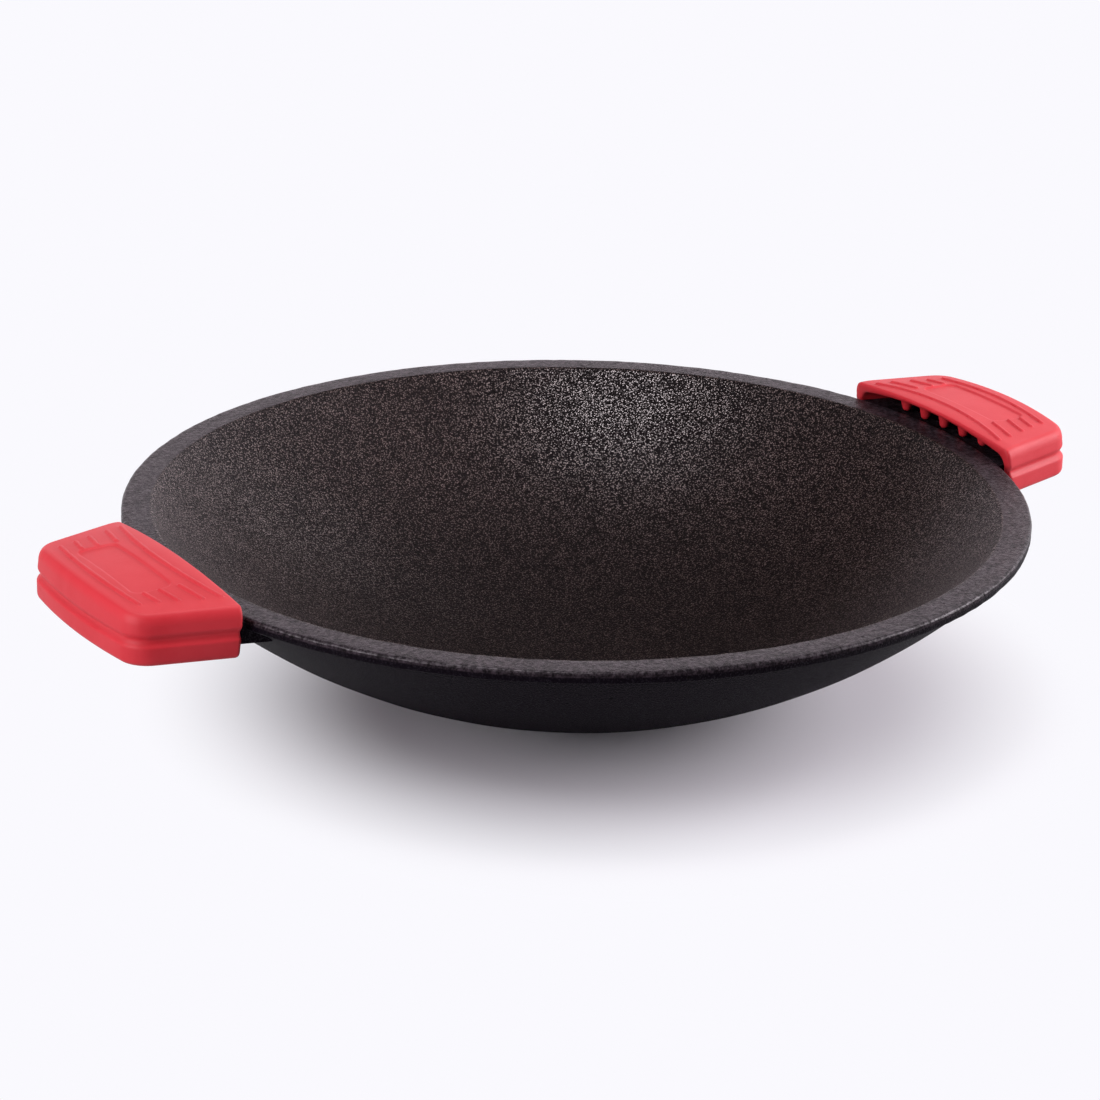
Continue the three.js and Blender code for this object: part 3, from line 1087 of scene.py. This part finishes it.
    def nub(self, bm: bmesh.types.BMesh, x: float, y: float) -> None:
        """Hangs one round-tipped nub from the ceiling.

        Args:
            bm: Mesh that takes the nub.
            x: Reach from the pan's axis.
            y: Distance from the grip's middle.
        """
        low = self.lug_top + self.seat_gap
        root = self.ceiling(x, y)
        tip_steps, flare_steps, turn_steps = self.nub_steps
        tip = arc(Vector((0, low + self.nub_tip)), self.nub_tip, -math.pi / 2, 0, tip_steps)
        tip[0].x = 0.0
        wide = self.nub_radius + self.nub_flare
        centre = Vector((wide, root - (self.nub_flare - self.nub_blend)))
        flare = arc(centre, self.nub_flare, math.pi, math.pi / 2, flare_steps)
        profile = tip + flare + [Vector((wide, root + self.nub_sink)), Vector((0, root + self.nub_sink))]
        pin = bmesh.new()
        turn_profile(pin, profile, turn_steps, Vector((x, y, 0)))
        bmesh.ops.recalc_face_normals(pin, faces=pin.faces)
        made = bpy.data.meshes.new("nub")
        pin.to_mesh(made)
        pin.free()
        bm.from_mesh(made)
        bpy.data.meshes.remove(made)

    def build(self, side: Side) -> bpy.types.Object:
        """Makes the sleeve on one lug.

        Args:
            side: The lug that it sits on.

        Returns:
            The sleeve as one object.
        """
        bm = bmesh.new()
        rows = self.side_rows()
        outer = self.skin(bm, rows, self.outer_counts, self.top, lambda x, y: self.bottom)
        pocket = self.pocket_rows(len(rows))
        inner = self.skin(bm, pocket, self.inner_counts, self.ceiling, lambda x, y: self.floor)
        self.close_mouth(bm, outer, inner)
        bmesh.ops.recalc_face_normals(bm, faces=bm.faces)
        nubs = bmesh.new()
        for x, count in self.nub_rows:
            for k in range(count):
                self.nub(nubs, x, (k - (count - 1) / 2) * self.nub_pitch)
        turn = Matrix.Rotation(side.value, 3, "Z")
        for body in (bm, nubs):
            bmesh.ops.rotate(body, cent=(0, 0, 0), matrix=turn, verts=body.verts)
        sleeve = to_object(bm, f"silicone_grip_{side.name.lower()}", math.pi)
        take(sleeve, unite(sleeve, to_object(nubs, "nubs", math.pi)), self.sharp)
        return sleeve

    def dress(self, piece: bpy.types.Object, material: bpy.types.Material, side: Side) -> None:
        """Gives the sleeve its finish and its place in the model.

        Args:
            piece: The sleeve.
            material: Its finish.
            side: The lug that it sits on.
        """
        node = f"grip_{side.name.lower()}"
        piece.data.materials.append(material)
        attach(piece, node)
        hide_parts(node)


@dataclass(frozen=True)
class Softbox:
    """Round lamp panel that faces the pan, in metres."""

    name: str
    place: Place
    size: float
    radiance: float
    tint: Tint = (1.0, 0.955, 1.0)
    aim: Place = (0.0, 0.0, 0.05)

    def hang(self) -> None:
        """Adds the lamp to the scene."""
        lamp = bpy.data.lights.new(self.name, "AREA")
        lamp.shape = "DISK"
        lamp.size = self.size
        lamp.color = self.tint
        lamp.energy = self.radiance * (math.pi * self.size / 2) ** 2
        box = bpy.data.objects.new(self.name, lamp)
        box.location = self.place
        box.rotation_euler = (Vector(self.place) - Vector(self.aim)).to_track_quat("Z", "Y").to_euler()
        bpy.context.collection.objects.link(box)


@dataclass
class Studio:
    """Pale light table, soft light and the camera, in metres."""

    backdrop: Tint = (0.956, 0.948, 0.991)
    floor_size: float = 12.0
    floor_sides: int = 96
    surface: Tint = (0.80, 0.79, 0.83)
    bounce: Tint = (0.42, 0.41, 0.44)
    shade_centre: Place = (0.007, -0.014, 0.0)
    glow_radius: Range = (0.071, 0.147)
    gloss_glow_radius: Range = (0.072, 0.17)
    softboxes: tuple[Softbox, ...] = (
        Softbox("overhead_softbox", (-0.15, 0.0, 1.05), 0.45, 10.2),
        Softbox("back_softbox", (0.80, 0.44, 0.62), 0.45, 2.0),
        Softbox("left_softbox", (-1.05, -0.05, 0.45), 0.8, 6.6),
        Softbox("right_softbox", (0.80, -0.34, 0.42), 0.60, 11.0),
    )
    dome: Range = (0.10, 2.05)
    dome_tint: Tint = (1.0, 0.89, 0.95)
    back: Place = (0.788, 0.616, 0.0)
    back_range: Range = (0.1, 0.8)
    back_height: Range = (0.12, 0.41)
    lens: float = 121.4
    sensor: float = 36.0
    clip: Range = (0.01, 100.0)
    position: Place = (-0.5603, -0.8760, 0.4353)
    right: Place = (0.84946, -0.52743, 0.01597)
    up: Place = (0.17466, 0.30958, 0.93470)
    forward: Place = (0.49794, 0.79120, -0.35509)

    @staticmethod
    def rays(w: Wiring, *kinds: str) -> Field:
        """1 for rays of the given kinds.

        Args:
            w: Tree that takes the nodes.
            kinds: Names of the kinds, as the Light Path node has them.

        Returns:
            1 or 0.
        """
        path = [w.node("ShaderNodeLightPath", {}, {}, f"Is {kind} Ray") for kind in kinds]
        whole = path[0]
        for kind in path[1:]:
            whole = whole.math("MAXIMUM", kind)
        return whole

    def floor(self) -> bpy.types.Object:
        """Floor that keeps the shadow near the pan and glows as the backdrop further out.

        Returns:
            The floor.
        """
        bm = bmesh.new()
        bmesh.ops.create_circle(bm, cap_ends=True, segments=self.floor_sides, radius=self.floor_size)
        mesh = bpy.data.meshes.new("floor")
        bm.to_mesh(mesh)
        bm.free()
        material, w, place = blank_material("pale_floor")
        away = w.node("ShaderNodeVectorMath", {"operation": "DISTANCE"}, {0: place, 1: self.shade_centre}, "Value")
        seen = w.mix(self.rays(w, "Camera"), colour(*self.bounce), colour(*self.surface))
        lit = w.node("ShaderNodeBsdfDiffuse", {}, {"Color": seen})
        plain = w.node("ShaderNodeEmission", {}, {"Color": colour(*self.backdrop), "Strength": 1.0})
        glow = away.step(*self.glow_radius) * self.rays(w, "Camera")
        gloss = away.step(*self.gloss_glow_radius) * self.rays(w, "Glossy", "Transmission")
        glow = glow.math("MAXIMUM", gloss)
        both = w.node("ShaderNodeMixShader", {}, {0: glow, 1: lit, 2: plain})
        w.node("ShaderNodeOutputMaterial", {}, {"Surface": both})
        mesh.materials.append(material)
        floor = bpy.data.objects.new("floor", mesh)
        bpy.context.collection.objects.link(floor)
        return floor

    def light(self) -> None:
        """Hangs the softboxes and sets the dome, brighter low down behind the pan."""
        for softbox in self.softboxes:
            softbox.hang()
        world = bpy.data.worlds.new("studio")
        world.use_nodes = True
        bpy.context.scene.world = world
        w = Wiring(world.node_tree)
        place = w.node("ShaderNodeTexCoord", {}, {}, "Generated")
        behind = w.node("ShaderNodeVectorMath", {"operation": "DOT_PRODUCT"}, {0: place, 1: self.back}, "Value")
        low = 1.0 - w.axis(place, "Z").step(*self.back_height)
        dim, bright = self.dome
        level = dim + (bright - dim) * (behind.step(*self.back_range) * low)
        dome = w.node("ShaderNodeBackground", {}, {"Color": colour(*self.dome_tint), "Strength": level})
        plain = w.node("ShaderNodeBackground", {}, {"Color": colour(*self.backdrop), "Strength": 1.0})
        both = w.node("ShaderNodeMixShader", {}, {0: self.rays(w, "Camera"), 1: dome, 2: plain})
        w.node("ShaderNodeOutputWorld", {}, {"Surface": both})

    def camera(self) -> None:
        """Sets the camera at the picture's angle."""
        lens = bpy.data.cameras.new("camera")
        lens.lens = self.lens
        lens.sensor_width = self.sensor
        lens.clip_start, lens.clip_end = self.clip
        camera = bpy.data.objects.new("camera", lens)
        axes = Matrix((self.right, self.up, [-value for value in self.forward])).transposed()
        camera.matrix_world = Matrix.Translation(self.position) @ axes.to_4x4()
        bpy.context.collection.objects.link(camera)
        scene = bpy.context.scene
        scene.camera = camera
        scene.view_settings.view_transform = "Standard"


def main() -> None:
    """Builds the pan, its grips and the studio."""
    logging.basicConfig(level=logging.INFO, format="%(name)s: %(message)s")
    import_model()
    studio = Studio()
    studio.floor()
    studio.light()
    studio.camera()
    casting = PanCasting()
    iron = casting.build()
    # Copy of the iron for the outer wall, painted darker and bluer: painted shade from the shadowed floor beneath
    # and a painted reflection of the floor's bluish tint.
    outside = SeasonedIron(
        "seasoned_iron_outside_painted_shade",
        dark=(0.0022, 0.0011, 0.0030),
        pale=(0.0085, 0.0048, 0.0105),
        specular=0.032,
        roughness=0.35,
        oil=0.06,
    )
    casting.dress(iron, SeasonedIron().make(), outside.make())
    LOG.info("%s: %d faces", iron.name, len(iron.data.polygons))
    grip = SiliconeGrip()
    silicone = RedSilicone().make()
    for side in Side:
        sleeve = grip.build(side)
        grip.dress(sleeve, silicone, side)
        LOG.info("%s: %d faces", sleeve.name, len(sleeve.data.polygons))


if __name__ == "__main__":
    main()
